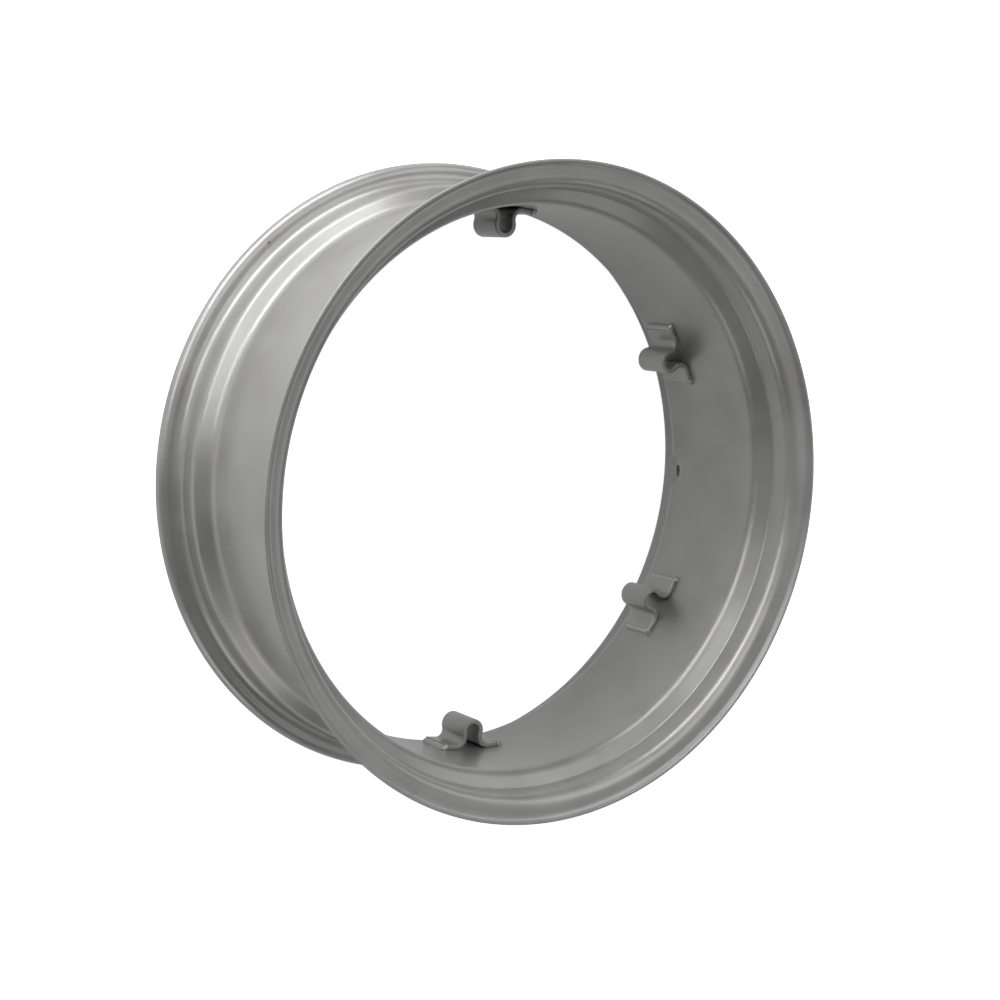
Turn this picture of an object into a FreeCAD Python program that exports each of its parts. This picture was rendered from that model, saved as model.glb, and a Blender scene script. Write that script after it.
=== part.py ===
import FreeCAD
import Part
import Sketcher
import math
import os

from FreeCAD import Placement, Rotation, Vector

# Tractor wheel rim, loop type, 10 x 28 inch: a rolled drop-centre band with six bolting loops
# welded inside its well. All lengths are in millimetres and all angles in degrees.
#
# Frame: the origin is the wheel centre, on the wheel axis and midway between the two lips.
# +Z runs along the wheel axis towards the face that is seen from the front. +X points at the
# valve hole, which lies in the back slope. The rim rests on its back lip.

doc = FreeCAD.newDocument("tractor_wheel_rim")

# Driving sizes

SIZES = {
    # band section
    "seat_diameter": (711.2, "bead seat line where it meets the flange, 28 inch"),
    "rim_width": (254.0, "between the tyre side faces of the flanges, 10 inch"),
    "flange_height": (24.5, "lip outside above the bead seat diameter"),
    "sheet_thickness": (4.8, "rolled strip"),
    "heel_bend": (13.0, "bend from seat to flange, tyre side"),
    "flange_flat": (0.5, "straight part of the flange between its two bends"),
    "lip_round": (1.2, "rounding of the trimmed lip edge"),
    "seat_taper": (5.0, "slope of the bead seat"),
    "seat_width": (30.0, "flange to the inner edge of the seat, along the axis"),
    "seat_bend": (4.0, "bend from seat to slope, axis side"),
    "slope_angle": (42.0, "slope from seat down to well, measured from the axis"),
    "well_bend": (15.0, "bend from slope to well, tyre side"),
    "well_depth": (21.1, "bead seat line down to the well, tyre side"),
    # pressed flat with the valve hole
    "valve_bore": (15.9, "valve hole, 5/8 inch"),
    "valve_lead": (10.72, "the pressed flat leaves the well this far before the well's end"),
    "valve_run": (14.4, "from there to the valve hole, along the axis"),
    "valve_tilt": (22.5, "pressed flat, measured from the axis"),
    "valve_flat": (28.0, "diameter of the pressed flat"),
    "valve_press_round": (4.0, "rounding between the pressed flat and its wall, axis side"),
    "valve_press_reach": (12.0, "how far the pressed wall is carried towards the axis"),
    # bolting loops
    "loop_count": (6, "loops round the well"),
    "first_loop_angle": (28.7, "first loop, from the valve hole"),
    "loop_setback": (1.72, "back edge of the loops before the well's end"),
    "strap_width": (50.0, "loop strap along the axis"),
    "strap_thickness": (6.3, "loop strap"),
    "eye_bore": (17.5, "bolt eye of the loop, for a 5/8 inch bolt"),
    "eye_centre_height": (22.8, "eye centre above the well"),
    "foot_bend": (8.5, "bend from eye to foot, open side"),
    "foot_reach": (36.8, "foot end from the loop's middle"),
    # weld beads at the foot ends
    "weld_leg": (5.2, "bead leg on the well and on the foot end"),
    "weld_crown": (0.8, "how far the bead stands out of its flat fillet"),
    "weld_overrun": (1.5, "bead end past the front edge of the strap"),
    "weld_end_round": (1.4, "rounded ends of the bead"),
}

# Sizes that follow from the ones above, so that the well drops from its bead seats, and the
# loops and the valve hole keep their places at the well's end in a rim of any size

FOLLOWING_SIZES = {
    "well_bore": ("=seat_diameter - 2 * (well_depth + sheet_thickness)",
                  "inside diameter of the well, where the loops sit"),
    "slope_drop": ("=seat_diameter / 2 - seat_width * tan(seat_taper)"
                   " - sheet_thickness * cos(slope_angle) - well_bore / 2",
                   "inner edge of the seat down to the well, axis side"),
    "well_end": ("=rim_width / 2 - seat_width + sheet_thickness * sin(slope_angle)"
                 " - slope_drop / tan(slope_angle)"
                 " - (well_bend + sheet_thickness) * tan(slope_angle / 2)",
                 "end of the well's straight bore, from the middle plane"),
    "valve_flat_start": ("=well_end - valve_lead",
                         "where the pressed flat leaves the well, behind the middle plane"),
    "valve_offset": ("=valve_flat_start + valve_run", "valve hole behind the middle plane"),
    "loop_offset": ("=well_end - loop_setback - strap_width / 2",
                    "middle of the loops behind the middle plane"),
}

sheet = doc.addObject("Spreadsheet::Sheet", "Sizes")
for row, (name, (value, note)) in enumerate({**SIZES, **FOLLOWING_SIZES}.items(), start=1):
    sheet.set(f"A{row}", note)
    sheet.set(f"B{row}", str(value))
    sheet.setAlias(f"B{row}", name)
doc.recompute()


def size(name):
    return float(getattr(sheet, name))


# Sketch helpers

START, END, CENTRE = range(1, 4)
ORIGIN_AXIS_X, ORIGIN_AXIS_Y = range(-1, -3, -1)
SAME_PLACE = 1e-3


def new_sketch(body, name, plane):
    """An empty sketch on one of the body's own origin planes."""
    sketch = body.newObject("Sketcher::SketchObject", name)
    support = next(f for f in body.Origin.OriginFeatures if f.Role == plane)
    sketch.AttachmentSupport = (support, [""])
    sketch.MapMode = "FlatFace"
    return sketch


def add_line(sketch, start, end, construction=False):
    return sketch.addGeometry(Part.LineSegment(Vector(*start, 0), Vector(*end, 0)), construction)


def add_arc(sketch, centre, radius, start, end, leftwards):
    """An arc from start to end. Returns its number and which of its ends is start and end."""
    angles = [math.atan2(p[1] - centre[1], p[0] - centre[0]) for p in (start, end)]
    circle = Part.Circle(Vector(*centre, 0), Vector(0, 0, 1), radius)
    if not leftwards:
        angles.reverse()
    number = sketch.addGeometry(Part.ArcOfCircle(circle, *angles), False)
    return (number, START, END) if leftwards else (number, END, START)


def add_point(sketch, place):
    return sketch.addGeometry(Part.Point(Vector(*place, 0)), True)


def tie(sketch, kind, *references):
    return sketch.addConstraint(Sketcher.Constraint(kind, *references))


def drive(sketch, name, expression, kind, *references):
    """A named dimension of the sketch that follows the sheet."""
    number = sketch.addConstraint(Sketcher.Constraint(kind, *references))
    sketch.renameConstraint(number, name)
    sketch.setExpression(f"Constraints.{name}", expression)


def place_point(sketch, name, place, across, up):
    """A construction point held at two driven distances from the sketch origin."""
    number = add_point(sketch, place)
    drive(sketch, name + "_across", across, "DistanceX", -1, 1, number, 1, place[0])
    drive(sketch, name + "_up", up, "DistanceY", -1, 1, number, 1, place[1])
    return number


def rounded_corner(before, corner, after, radius):
    """Where an arc of the radius touches the two sides of a corner, its centre and its turn."""
    to_before = (Vector(*before, 0) - Vector(*corner, 0)).normalize()
    to_after = (Vector(*after, 0) - Vector(*corner, 0)).normalize()
    half = to_before.getAngle(to_after) / 2
    reach = radius / math.tan(half)
    start = Vector(*corner, 0) + to_before * reach
    end = Vector(*corner, 0) + to_after * reach
    middle = (to_before + to_after).normalize() * (radius / math.sin(half))
    centre = Vector(*corner, 0) + middle
    leftwards = (Vector(0, 0, 0) - to_before).cross(to_after).z > 0
    return (start.x, start.y), (end.x, end.y), (centre.x, centre.y), leftwards


def finish_body(body, feature):
    body.Tip = feature
    doc.recompute()


def lathe(body, kind, name, sketch, axis):
    """A full turn of the sketch about an axis, added to the body or cut from it."""
    feature = body.newObject(kind, name)
    feature.Profile = sketch
    feature.ReferenceAxis = axis
    feature.Angle = 360
    sketch.Visibility = False
    finish_body(body, feature)
    return feature


def mirror_over_middle(body, name, feature):
    """The same feature on the other side of the wheel's middle plane."""
    mirrored = body.newObject("PartDesign::Mirrored", name)
    mirrored.Originals = [feature]
    plane = next(f for f in body.Origin.OriginFeatures if f.Role == "XY_Plane")
    mirrored.MirrorPlane = (plane, [""])
    finish_body(body, mirrored)
    return mirrored


# Rim band

LIP_HEIGHT = "Sizes.rim_width / 2 + Sizes.flange_height - Sizes.heel_bend - Sizes.flange_flat"
CURL = "(Sizes.flange_height - Sizes.heel_bend - Sizes.flange_flat)"


def band_half_section(sketch, axis_side):
    """Front half of the section, from the middle plane to the lip, closed on the wheel axis.

    The strip has one thickness, so both faces are the same chain of straights and tangent bends:
    well, slope, bead seat, flange and curled lip. The axis side is set in by the thickness.
    """
    inset = size("sheet_thickness") if axis_side else 0.0
    inset_cell = "Sizes.sheet_thickness" if axis_side else "0"
    taper, slope = math.radians(size("seat_taper")), math.radians(size("slope_angle"))
    half_width, seat = size("rim_width") / 2, size("seat_diameter") / 2
    well = size("well_bore") / 2 + (0 if axis_side else size("sheet_thickness"))
    curl = size("flange_height") - size("heel_bend") - size("flange_flat")
    lip = seat + size("flange_height")

    # one point on the slope, one on the seat, and the corners where the straights would meet
    on_slope = (seat - size("seat_width") * math.tan(taper) - inset * math.cos(slope),
                half_width - size("seat_width") + inset * math.sin(slope))
    on_seat = (seat - inset / math.cos(taper), half_width)
    foot = (well, on_slope[1] - (on_slope[0] - well) / math.tan(slope))
    rise = ((on_seat[0] - on_slope[0] + (on_slope[1] - on_seat[1]) * math.tan(taper))
            / (math.tan(slope) - math.tan(taper)))
    brow = (on_slope[0] + rise * math.tan(slope), on_slope[1] + rise)
    heel = (on_seat[0] + inset * math.tan(taper), half_width + inset)
    outer = (lip - inset, half_width + inset)
    rim_end = (lip - inset, half_width + curl)
    corners = [(well, 0.0), foot, brow, heel, outer, rim_end]
    bends = [size("well_bend") + inset, size("seat_bend") + size("sheet_thickness") - inset,
             size("heel_bend") + inset, curl - inset]
    bend_cells = {
        "well_bend": f"Sizes.well_bend + {inset_cell}",
        "seat_bend": f"Sizes.seat_bend + Sizes.sheet_thickness - {inset_cell}",
        "heel_bend": f"Sizes.heel_bend + {inset_cell}",
        "lip_curl": f"{CURL} - {inset_cell}",
    }

    # the chain of straights and bends
    rounds = [rounded_corner(corners[i], corners[i + 1], corners[i + 2], bends[i]) for i in range(4)]
    straights, arcs = [], []
    start = corners[0]
    for (touch, leave, centre, leftwards), radius in zip(rounds, bends):
        straights.append(add_line(sketch, start, touch))
        arcs.append(add_arc(sketch, centre, radius, touch, leave, leftwards))
        start = leave
    for straight, (arc, first, last), following in zip(straights, arcs, straights[1:] + [None]):
        tie(sketch, "Tangent", straight, END, arc, first)
        if following is not None:
            tie(sketch, "Tangent", arc, last, following, START)
    for (name, cell), (arc, first, last), radius in zip(bend_cells.items(), arcs, bends):
        drive(sketch, name, cell, "Radius", arc, radius)

    # where the straights lie
    well_line, slope_line, seat_line, flange_line = straights
    tie(sketch, "Vertical", well_line)
    tie(sketch, "Horizontal", flange_line)
    tie(sketch, "PointOnObject", well_line, START, ORIGIN_AXIS_X)
    drive(sketch, "well_radius", "Sizes.well_bore / 2 + Sizes.sheet_thickness - " + inset_cell,
          "DistanceX", -1, 1, well_line, START, well)
    slope_point = place_point(
        sketch, "slope_point", on_slope,
        f"Sizes.seat_diameter / 2 - Sizes.seat_width * tan(Sizes.seat_taper)"
        f" - {inset_cell} * cos(Sizes.slope_angle)",
        f"Sizes.rim_width / 2 - Sizes.seat_width + {inset_cell} * sin(Sizes.slope_angle)")
    tie(sketch, "PointOnObject", slope_point, 1, slope_line)
    drive(sketch, "slope", "90 deg - Sizes.slope_angle * 1 deg", "Angle",
          ORIGIN_AXIS_X, 1, slope_line, START, math.pi / 2 - slope)
    seat_point = place_point(
        sketch, "seat_point", on_seat,
        f"Sizes.seat_diameter / 2 - {inset_cell} / cos(Sizes.seat_taper)", "Sizes.rim_width / 2")
    tie(sketch, "PointOnObject", seat_point, 1, seat_line)
    drive(sketch, "taper", "90 deg - Sizes.seat_taper * 1 deg", "Angle",
          ORIGIN_AXIS_X, 1, seat_line, START, math.pi / 2 - taper)
    drive(sketch, "flange_face", "Sizes.rim_width / 2 + " + inset_cell, "DistanceY",
          -1, 1, flange_line, START, half_width + inset)

    # the lip ends where the curl runs along the axis, then the outline closes on the wheel axis
    curl_arc, curl_start, curl_end = arcs[-1]
    tie(sketch, "Horizontal", curl_arc, CENTRE, curl_arc, curl_end)
    drive(sketch, "lip_radius", "Sizes.seat_diameter / 2 + Sizes.flange_height - " + inset_cell,
          "DistanceX", -1, 1, curl_arc, curl_end, lip - inset)
    top = add_line(sketch, rim_end, (0.0, rim_end[1]))
    axis = add_line(sketch, (0.0, rim_end[1]), (0.0, 0.0))
    middle = add_line(sketch, (0.0, 0.0), (well, 0.0))
    tie(sketch, "Coincident", curl_arc, curl_end, top, START)
    tie(sketch, "Coincident", top, END, axis, START)
    tie(sketch, "Coincident", axis, END, middle, START)
    tie(sketch, "Coincident", middle, END, well_line, START)
    tie(sketch, "Horizontal", top)
    tie(sketch, "Vertical", axis)
    tie(sketch, "Coincident", axis, END, -1, 1)


def valve_section(body, name, tyre_side):
    """Half section of the valve pressing about the valve's own axis, as its own sketch.

    The sketch origin is the middle of the pressed flat on the axis side, and its upright axis
    is the valve axis, pointing out towards the tyre. The flat, its rounded corner and the wall
    at 45 degrees are the same on both sides, one sheet thickness apart.
    """
    sketch = new_sketch(body, name, "XZ_Plane")
    tilt = size("valve_tilt")
    run = size("valve_offset") - size("valve_flat_start")
    sketch.AttachmentOffset = Placement(
        Vector(size("well_bore") / 2 + run * math.tan(math.radians(tilt)), -size("valve_offset"), 0),
        Rotation(Vector(0, 0, 1), tilt - 90))
    sketch.setExpression(
        "AttachmentOffset.Base.x",
        "Sizes.well_bore / 2 + (Sizes.valve_offset - Sizes.valve_flat_start) * tan(Sizes.valve_tilt)")
    sketch.setExpression("AttachmentOffset.Base.y", "-Sizes.valve_offset")
    sketch.setExpression("AttachmentOffset.Rotation.Angle", "Sizes.valve_tilt - 90")

    level = size("sheet_thickness") if tyre_side else 0.0
    level_cell = "Sizes.sheet_thickness" if tyre_side else "0"
    flat, inner_round = size("valve_flat") / 2, size("valve_press_round")
    reach = size("valve_press_reach")
    radius = inner_round + level
    wall_turn = math.radians(45)
    centre = (flat, -inner_round)
    wall_top = (flat + radius * math.sin(wall_turn), radius * math.cos(wall_turn) - inner_round)
    wall_foot = (wall_top[0] + wall_top[1] + reach, -reach)

    face = add_line(sketch, (0.0, level), (flat, level))
    bend, first, last = add_arc(sketch, centre, radius, (flat, level), wall_top, False)
    wall = add_line(sketch, wall_top, wall_foot)
    base = add_line(sketch, wall_foot, (0.0, -reach))
    axis = add_line(sketch, (0.0, -reach), (0.0, level))
    tie(sketch, "Horizontal", face)
    tie(sketch, "PointOnObject", face, START, ORIGIN_AXIS_Y)
    tie(sketch, "Tangent", face, END, bend, first)
    tie(sketch, "Tangent", bend, last, wall, START)
    tie(sketch, "Coincident", wall, END, base, START)
    tie(sketch, "Coincident", base, END, axis, START)
    tie(sketch, "Coincident", axis, END, face, START)
    tie(sketch, "Horizontal", base)
    tie(sketch, "Vertical", axis)
    drive(sketch, "flat_radius", "Sizes.valve_flat / 2", "DistanceX", -1, 1, bend, CENTRE, flat)
    drive(sketch, "bend_drop", "Sizes.valve_press_round", "DistanceY",
          bend, CENTRE, -1, 1, inner_round)
    drive(sketch, "bend_radius", "Sizes.valve_press_round + " + level_cell, "Radius", bend, radius)
    drive(sketch, "wall_angle", "45 deg", "Angle", wall, START, base, END, math.radians(45))
    drive(sketch, "reach", "Sizes.valve_press_reach", "DistanceY", axis, START, -1, 1, reach)
    return sketch


def valve_bore_section(body):
    """Half section of the valve hole, a plain bore through the pressed flat."""
    sketch = new_sketch(body, "valve_bore_section", "XZ_Plane")
    sketch.AttachmentOffset = body.getObject("valve_recess_section").AttachmentOffset
    for path in ("Base.x", "Base.y", "Rotation.Angle"):
        sketch.setExpression("AttachmentOffset." + path,
                             "valve_recess_section.AttachmentOffset." + path)
    radius, reach, top = size("valve_bore") / 2, size("valve_press_reach"), 2 * size("sheet_thickness")
    corners = [(0.0, -reach), (radius, -reach), (radius, top), (0.0, top)]
    sides = [add_line(sketch, corners[i], corners[(i + 1) % 4]) for i in range(4)]
    for i in range(4):
        tie(sketch, "Coincident", sides[i], END, sides[(i + 1) % 4], START)
        tie(sketch, "Horizontal" if i % 2 == 0 else "Vertical", sides[i])
    tie(sketch, "PointOnObject", sides[0], START, ORIGIN_AXIS_Y)
    drive(sketch, "bore_radius", "Sizes.valve_bore / 2", "DistanceX", -1, 1, sides[1], START, radius)
    drive(sketch, "below", "Sizes.valve_press_reach", "DistanceY", sides[1], START, -1, 1, reach)
    drive(sketch, "above", "2 * Sizes.sheet_thickness", "DistanceY", -1, 1, sides[1], END, top)
    return sketch


def lip_edges(shape):
    """Names of the four sharp ring edges of the two trimmed lips."""
    lip_level = size("rim_width") / 2 + size("flange_height") - size("heel_bend") - size("flange_flat")
    names = []
    for number, edge in enumerate(shape.Edges, start=1):
        box = edge.BoundBox
        if abs(abs(box.ZMin) - lip_level) < SAME_PLACE and box.ZLength < SAME_PLACE:
            names.append(f"Edge{number}")
    return names


def build_rim_band():
    body = doc.addObject("PartDesign::Body", "rim_band")
    body.Label = "rim_band"

    tyre_side = new_sketch(body, "tyre_side_section", "XZ_Plane")
    band_half_section(tyre_side, axis_side=False)
    outside = lathe(body, "PartDesign::Revolution", "tyre_side_form", tyre_side,
                    (tyre_side, ["V_Axis"]))
    mirror_over_middle(body, "tyre_side_form_back", outside)

    boss = valve_section(body, "valve_boss_section", tyre_side=True)
    lathe(body, "PartDesign::Revolution", "valve_boss", boss, (boss, ["V_Axis"]))

    axis_side = new_sketch(body, "axis_side_section", "XZ_Plane")
    band_half_section(axis_side, axis_side=True)
    inside = lathe(body, "PartDesign::Groove", "opening_form", axis_side, (axis_side, ["V_Axis"]))
    mirror_over_middle(body, "opening_form_back", inside)

    recess = valve_section(body, "valve_recess_section", tyre_side=False)
    lathe(body, "PartDesign::Groove", "valve_recess", recess, (recess, ["V_Axis"]))
    bore = valve_bore_section(body)
    last = lathe(body, "PartDesign::Groove", "valve_bore_cut", bore, (bore, ["V_Axis"]))

    rounding = body.newObject("PartDesign::Fillet", "lip_rounding")
    rounding.Base = (last, lip_edges(last.Shape))
    rounding.Radius = size("lip_round")
    rounding.setExpression("Radius", "Sizes.lip_round")
    finish_body(body, rounding)
    return body


# Bolting loops

def loop_centres():
    """Eye centre and the centre of the upper foot bend, in the loop's own frame."""
    well = size("well_bore") / 2
    eye = (well - size("eye_centre_height"), 0.0)
    to_eye = size("eye_bore") / 2 + size("strap_thickness") + size("foot_bend")
    to_axis = well - size("strap_thickness") - size("foot_bend")
    across = (to_axis ** 2 - to_eye ** 2 + eye[0] ** 2) / (2 * eye[0])
    return eye, (across, math.sqrt(to_axis ** 2 - across ** 2))


def strap_outline(sketch):
    """End view of the strap: a round eye that narrows to a neck and spreads to two feet.

    The sketch origin is the wheel axis and the loop lies towards +X. The feet follow the well.
    """
    well, thickness = size("well_bore") / 2, size("strap_thickness")
    eye, bend = loop_centres()
    inner_eye = size("eye_bore") / 2
    open_bend = size("foot_bend")
    foot_angle = math.asin(size("foot_reach") / well)
    eye_vector = Vector(eye[0], eye[1], 0)
    bend_vector = Vector(bend[0], bend[1], 0)
    neck = (bend_vector - eye_vector).normalize()
    out = Vector(bend[0], bend[1], 0).normalize()

    def face(eye_radius, bend_radius, foot_radius):
        """One face of the strap, from the lower foot end over the eye to the upper foot end."""
        touch_eye = eye_vector + neck * eye_radius
        touch_foot = out * foot_radius
        end = (foot_radius * math.cos(foot_angle), foot_radius * math.sin(foot_angle))
        upper_eye, upper_foot = (touch_eye.x, touch_eye.y), (touch_foot.x, touch_foot.y)
        lower_eye, lower_foot = (upper_eye[0], -upper_eye[1]), (upper_foot[0], -upper_foot[1])
        foot_low = add_arc(sketch, (0.0, 0.0), foot_radius, (end[0], -end[1]), lower_foot, True)
        bend_low = add_arc(sketch, (bend[0], -bend[1]), bend_radius, lower_foot, lower_eye, True)
        crown = add_arc(sketch, eye, eye_radius, lower_eye, upper_eye, False)
        bend_up = add_arc(sketch, bend, bend_radius, upper_eye, upper_foot, True)
        foot_up = add_arc(sketch, (0.0, 0.0), foot_radius, upper_foot, end, True)
        chain = [foot_low, bend_low, crown, bend_up, foot_up]
        for (arc, first, last), (following, start, finish) in zip(chain, chain[1:]):
            tie(sketch, "Tangent", arc, last, following, start)
        for arc in (foot_low[0], foot_up[0]):
            tie(sketch, "Coincident", arc, CENTRE, -1, 1)
        tie(sketch, "PointOnObject", crown[0], CENTRE, ORIGIN_AXIS_X)
        return chain

    open_face = face(inner_eye + thickness, open_bend, well - thickness)
    seat_face = face(inner_eye, open_bend + thickness, well)
    names = ("open", "seat")
    radii = {
        "open": ("Sizes.eye_bore / 2 + Sizes.strap_thickness", "Sizes.foot_bend",
                 "Sizes.well_bore / 2 - Sizes.strap_thickness"),
        "seat": ("Sizes.eye_bore / 2", "Sizes.foot_bend + Sizes.strap_thickness",
                 "Sizes.well_bore / 2"),
    }
    values = {"open": (inner_eye + thickness, open_bend, well - thickness),
              "seat": (inner_eye, open_bend + thickness, well)}
    for name, chain in zip(names, (open_face, seat_face)):
        foot_low, bend_low, crown, bend_up, foot_up = (arc for arc, first, last in chain)
        cells, numbers = radii[name], values[name]
        drive(sketch, name + "_eye", cells[0], "Radius", crown, numbers[0])
        drive(sketch, name + "_bend_low", cells[1], "Radius", bend_low, numbers[1])
        drive(sketch, name + "_bend_up", cells[1], "Radius", bend_up, numbers[1])
        drive(sketch, name + "_foot_low", cells[2], "Radius", foot_low, numbers[2])
        drive(sketch, name + "_foot_up", cells[2], "Radius", foot_up, numbers[2])
        drive(sketch, name + "_eye_centre", "Sizes.well_bore / 2 - Sizes.eye_centre_height",
              "DistanceX", -1, 1, crown, CENTRE, eye[0])

    # square foot ends on a line through the wheel axis
    for index, sign, which in ((0, -1, "low"), (4, 1, "up")):
        open_arc, seat_arc = open_face[index], seat_face[index]
        open_end = open_arc[1] if index == 0 else open_arc[2]
        seat_end = seat_arc[1] if index == 0 else seat_arc[2]
        tip = (well * math.cos(foot_angle), sign * well * math.sin(foot_angle))
        shoulder = tuple(c * (well - thickness) / well for c in tip)
        end_line = add_line(sketch, shoulder, tip)
        tie(sketch, "Coincident", open_arc[0], open_end, end_line, START)
        tie(sketch, "Coincident", seat_arc[0], seat_end, end_line, END)
        tie(sketch, "PointOnObject", -1, 1, end_line)
        first, second = ((end_line, END), (-1, 1)) if index == 0 else ((-1, 1), (end_line, END))
        drive(sketch, "reach_" + which, "Sizes.foot_reach", "DistanceY",
              *first, *second, size("foot_reach"))


def turn_to_loop(body, number):
    """Turns a piece that is built towards +X to its place round the wheel axis."""
    step = 360.0 / size("loop_count")
    body.Placement = Placement(
        Vector(0, 0, 0), Rotation(Vector(0, 0, 1), size("first_loop_angle") + number * step))
    body.setExpression("Placement.Rotation.Angle",
                       f"Sizes.first_loop_angle + {number} * 360 / Sizes.loop_count")


def build_mounting_loop(number):
    name = f"mounting_loop_{number + 1}"
    body = doc.addObject("PartDesign::Body", name)
    body.Label = name
    sketch = new_sketch(body, name + "_outline", "XY_Plane")
    sketch.AttachmentOffset = Placement(
        Vector(0, 0, -size("loop_offset") - size("strap_width") / 2), Rotation())
    sketch.setExpression("AttachmentOffset.Base.z", "-Sizes.loop_offset - Sizes.strap_width / 2")
    strap_outline(sketch)
    pad = body.newObject("PartDesign::Pad", name + "_strap")
    pad.Profile = sketch
    pad.Length = size("strap_width")
    pad.setExpression("Length", "Sizes.strap_width")
    finish_body(body, pad)
    turn_to_loop(body, number)
    doc.recompute()
    return body


# Weld beads

def bead_end_edges(shape, face_radius):
    """Names of the two edges where the bead's round face meets its flat ends."""
    return [f"Edge{number}" for number, edge in enumerate(shape.Edges, start=1)
            if edge.BoundBox.ZLength < SAME_PLACE and isinstance(edge.Curve, Part.Circle)
            and abs(edge.Curve.Radius - face_radius) < SAME_PLACE]


def build_weld_bead(number, side):
    """A fillet bead along one foot end, on the well and on the end face of the strap."""
    name = f"loop_{number + 1}_weld_{'a' if side > 0 else 'b'}"
    body = doc.addObject("PartDesign::Body", name)
    body.Label = name
    well, leg, crown = size("well_bore") / 2, size("weld_leg"), size("weld_crown")
    angle = math.degrees(math.asin(size("foot_reach") / well))

    # the sketch origin is the corner between foot end and well, its upright axis points inwards
    sketch = new_sketch(body, name + "_section", "XY_Plane")
    reach = size("foot_reach")
    sketch.AttachmentOffset = Placement(
        Vector(math.sqrt(well ** 2 - reach ** 2), side * reach,
               -size("loop_offset") - size("strap_width") / 2),
        Rotation(Vector(0, 0, 1), 90 + side * angle))
    sketch.setExpression("AttachmentOffset.Base.x",
                         "sqrt((Sizes.well_bore / 2) ^ 2 - Sizes.foot_reach ^ 2)")
    sketch.setExpression("AttachmentOffset.Base.y", f"{side} * Sizes.foot_reach")
    sketch.setExpression("AttachmentOffset.Base.z", "-Sizes.loop_offset - Sizes.strap_width / 2")
    sketch.setExpression(
        "AttachmentOffset.Rotation.Angle",
        f"90 + {side} * asin(Sizes.foot_reach / (Sizes.well_bore / 2)) / 1 deg")

    sag = well - math.sqrt(well ** 2 - leg ** 2)
    toe, top = (side * leg, sag), (0.0, leg)
    face_radius = (leg ** 2 / 2 + crown ** 2) / (2 * crown)
    middle = Vector((toe[0] + top[0]) / 2, (toe[1] + top[1]) / 2, 0)
    inward = Vector(-side, -1, 0).normalize()
    face_centre = middle + inward * (face_radius - crown)
    end_face = add_line(sketch, (0.0, 0.0), top)
    face = add_arc(sketch, (face_centre.x, face_centre.y), face_radius, top, toe, side < 0)
    floor = add_arc(sketch, (0.0, well), well, toe, (0.0, 0.0), side < 0)
    tie(sketch, "Coincident", end_face, START, -1, 1)
    tie(sketch, "Vertical", end_face)
    tie(sketch, "Coincident", end_face, END, face[0], face[1])
    tie(sketch, "Coincident", face[0], face[2], floor[0], floor[1])
    tie(sketch, "Coincident", floor[0], floor[2], end_face, START)
    tie(sketch, "PointOnObject", floor[0], CENTRE, ORIGIN_AXIS_Y)
    drive(sketch, "leg_up", "Sizes.weld_leg", "DistanceY", end_face, START, end_face, END, leg)
    ends = ((-1, 1), (face[0], face[2])) if side > 0 else ((face[0], face[2]), (-1, 1))
    drive(sketch, "leg_along", "Sizes.weld_leg", "DistanceX", *ends[0], *ends[1], leg)
    drive(sketch, "well", "Sizes.well_bore / 2", "Radius", floor[0], well)
    drive(sketch, "face_radius", "(Sizes.weld_leg ^ 2 / 2 + Sizes.weld_crown ^ 2) / (2 * Sizes.weld_crown)",
          "Radius", face[0], face_radius)

    pad = body.newObject("PartDesign::Pad", name + "_run")
    pad.Profile = sketch
    pad.Length = size("strap_width") + size("weld_overrun")
    pad.setExpression("Length", "Sizes.strap_width + Sizes.weld_overrun")
    finish_body(body, pad)
    rounding = body.newObject("PartDesign::Fillet", name + "_ends")
    rounding.Base = (pad, bead_end_edges(pad.Shape, face_radius))
    rounding.Radius = size("weld_end_round")
    rounding.setExpression("Radius", "Sizes.weld_end_round")
    finish_body(body, rounding)
    turn_to_loop(body, number)
    doc.recompute()
    return body


# Build, check and write

def failed(item):
    return any(word in item.State for word in ("Invalid", "Error"))


pieces = [build_rim_band()]
for loop in range(int(size("loop_count"))):
    pieces.append(build_mounting_loop(loop))
    pieces.append(build_weld_bead(loop, 1))
    pieces.append(build_weld_bead(loop, -1))
doc.recompute()

for item in doc.Objects:
    if failed(item):
        raise RuntimeError(f"{item.Label} failed: {item.State}")
for piece in pieces:
    if piece.Shape.isNull() or not piece.Shape.isValid() or len(piece.Shape.Solids) != 1:
        raise RuntimeError(f"{piece.Label} is not one valid solid")

os.makedirs("parts", exist_ok=True)
for piece in pieces:
    piece.Shape.exportStep(f"parts/{piece.Label}.step")
    box = piece.Shape.BoundBox
    print(f"{piece.Label}: {piece.Shape.Volume / 1000:.2f} cm3,"
          f" z {box.ZMin:.2f} to {box.ZMax:.2f}, {len(piece.Shape.Faces)} faces")
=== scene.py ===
# %% [markdown]
# # A loop type tractor wheel rim, sprayed with silver enamel
#
# The real rim is one strip of steel, welded into a hoop and rolled to a drop-centre section:
# curled flanges at both sides, sloping bead seats for the tyre, and a deep well between them.
# Six bent straps, the loops, are welded inside the well and take the bolts of the wheel disc.
# The whole thing is sprayed with silver enamel after welding, so every surface has one colour
# and the light alone tells the shapes apart.
#
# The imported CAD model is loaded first. The lesson then mixes the paint, builds the band, the
# loops and the weld beads from the sizes of the real part, and sets up the studio.

# %% Load the frame
import math

import bmesh
import bpy
from mathutils import Matrix, Vector


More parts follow.
